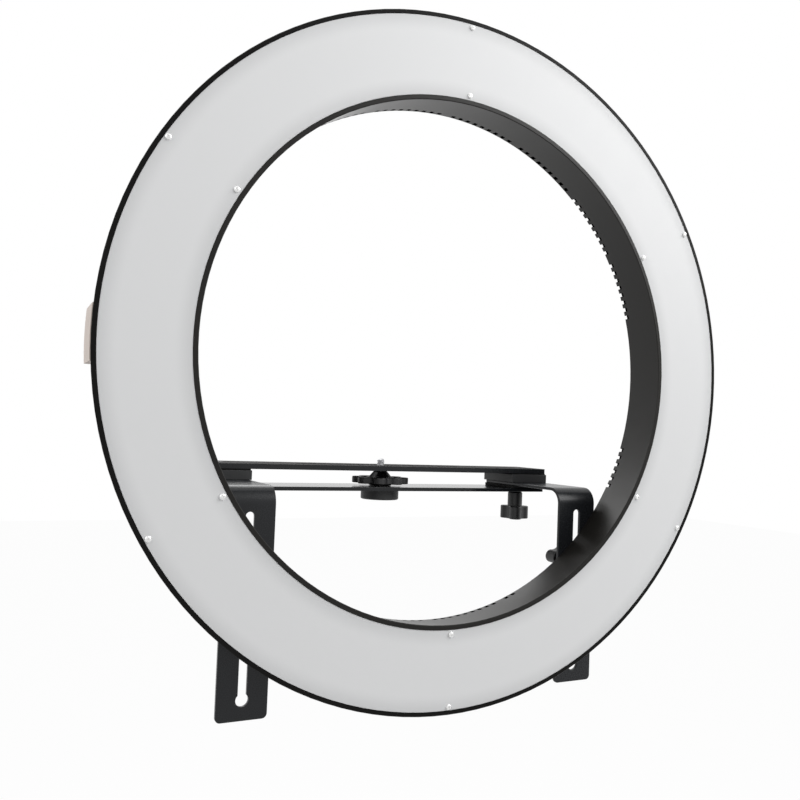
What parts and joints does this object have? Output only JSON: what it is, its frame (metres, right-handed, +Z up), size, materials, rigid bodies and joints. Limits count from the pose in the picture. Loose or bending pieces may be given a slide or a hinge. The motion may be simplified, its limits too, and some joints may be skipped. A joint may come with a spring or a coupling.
{
  "type": "led ring light",
  "caption": "Round lamp panel on a strap bracket that holds a camera behind its hole, with a socket for a light stand.",
  "frame": {"origin": "centre of the stand socket's mouth, under the middle of the lower cross bar", "axes": "+Z up, out of the socket into the bracket; -Y the way the lamp shines; +X to the right of a viewer who faces the lamp"},
  "size_m": [0.4899, 0.151, 0.4902],
  "materials": {
    "shell_black": "satin moulded black plastic",
    "cover_black": "fine textured black powder coat",
    "diffuser_white": "frosted white acrylic, unlit",
    "white_steel": "white painted pan heads",
    "bracket_black": "satin black powder coat on steel strap",
    "pad_rubber": "matt black rubber",
    "block_black": "satin black nylon",
    "knob_black": "satin black nylon with moulding grain",
    "screw_steel": "zinc plated",
    "black_steel": "black oxide",
    "insert_brass": "turned",
    "pale_plastic": "plain warm pale plastic",
    "board_white": "white solder mask",
    "driver_green": "green solder mask",
    "led_warm": "yellow phosphor",
    "led_cool": "pale phosphor",
    "part_black": "black component moulding",
    "window_dark": "smoked display window"
  },
  "bodies": {
    "mount_frame": {"lower_bar": "bracket_black", "stand_socket": "block_black", "lower_pads": "pad_rubber", "spacer_blocks": "block_black", "upper_pads": "pad_rubber", "camera_bar": "bracket_black"},
    "legs": {"left_leg": "bracket_black", "right_leg": "bracket_black"},
    "ring": {"outer_shell": "shell_black", "inner_shell": "shell_black", "diffuser": "diffuser_white", "diffuser_screws": "white_steel", "back_cover": "cover_black", "back_screws": "black_steel", "led_boards": "board_white", "board_screws": "screw_steel", "warm_leds": "led_warm", "cool_leds": "led_cool", "board_links": "screw_steel", "feed_connector": "part_black", "side_cover": "pale_plastic", "control_box": "shell_black", "control_screws": "screw_steel", "driver_board": "driver_green", "driver_board_screws": "screw_steel", "display_window": "window_dark", "display_module": "part_black", "potentiometers": "part_black", "switch_housing": "part_black", "dc_inlet": "part_black", "clamp_studs": "screw_steel", "clamp_washers": "black_steel"},
    "left_clamp": {"left_clamp_knob": "knob_black", "left_clamp_insert": "insert_brass"},
    "right_clamp": {"right_clamp_knob": "knob_black", "right_clamp_insert": "insert_brass"},
    "left_thumb": {"left_thumb_knob": "knob_black", "left_thumb_stud": "black_steel"},
    "right_thumb": {"right_thumb_knob": "knob_black", "right_thumb_stud": "black_steel"},
    "camera_carriage": {"slot_bush": "black_steel"},
    "camera_screw": {"camera_wheel": "knob_black", "camera_stud": "screw_steel"},
    "brightness_control": {"brightness_dial": "knob_black", "brightness_shaft": "screw_steel"},
    "colour_control": {"colour_dial": "knob_black", "colour_shaft": "screw_steel"},
    "power_switch": {"power_rocker": "part_black"}
  },
  "joints": [
    {"name": "reach_slide", "type": "slide", "parent": "mount_frame", "child": "legs", "axis": [0, 1, 0], "range_m": [-0.013, 0.011]},
    {"name": "height_slide", "type": "slide", "parent": "legs", "child": "ring", "axis": [0, 0, 1], "range_m": [-0.077, 0.035]},
    {"name": "left_clamp_turn", "type": "hinge", "parent": "ring", "child": "left_clamp", "pos_m": [-0.1355, -0.084, -0.041], "axis": [0, 1, 0], "continuous": true},
    {"name": "right_clamp_turn", "type": "hinge", "parent": "ring", "child": "right_clamp", "pos_m": [0.1355, -0.084, -0.041], "axis": [0, 1, 0], "continuous": true},
    {"name": "left_thumb_turn", "type": "hinge", "parent": "mount_frame", "child": "left_thumb", "pos_m": [-0.1355, 0, 0.0082], "axis": [0, 0, 1], "continuous": true},
    {"name": "right_thumb_turn", "type": "hinge", "parent": "mount_frame", "child": "right_thumb", "pos_m": [0.1355, 0, 0.0082], "axis": [0, 0, 1], "continuous": true},
    {"name": "camera_slide", "type": "slide", "parent": "mount_frame", "child": "camera_carriage", "axis": [1, 0, 0], "range_m": [-0.07, 0.07]},
    {"name": "camera_screw_turn", "type": "hinge", "parent": "camera_carriage", "child": "camera_screw", "pos_m": [0, 0, 0.0182], "axis": [0, 0, 1], "continuous": true},
    {"name": "brightness_turn", "type": "hinge", "parent": "ring", "child": "brightness_control", "pos_m": [-0.214, -0.0745, 0.119], "axis": [0, 1, 0], "range_deg": [-135, 135]},
    {"name": "colour_turn", "type": "hinge", "parent": "ring", "child": "colour_control", "pos_m": [-0.214, -0.0745, 0.098], "axis": [0, 1, 0], "range_deg": [-135, 135]},
    {"name": "power_rock", "type": "hinge", "parent": "ring", "child": "power_switch", "pos_m": [-0.214, -0.0743, 0.08], "axis": [1, 0, 0], "range_deg": [0, 20]}
  ]
}
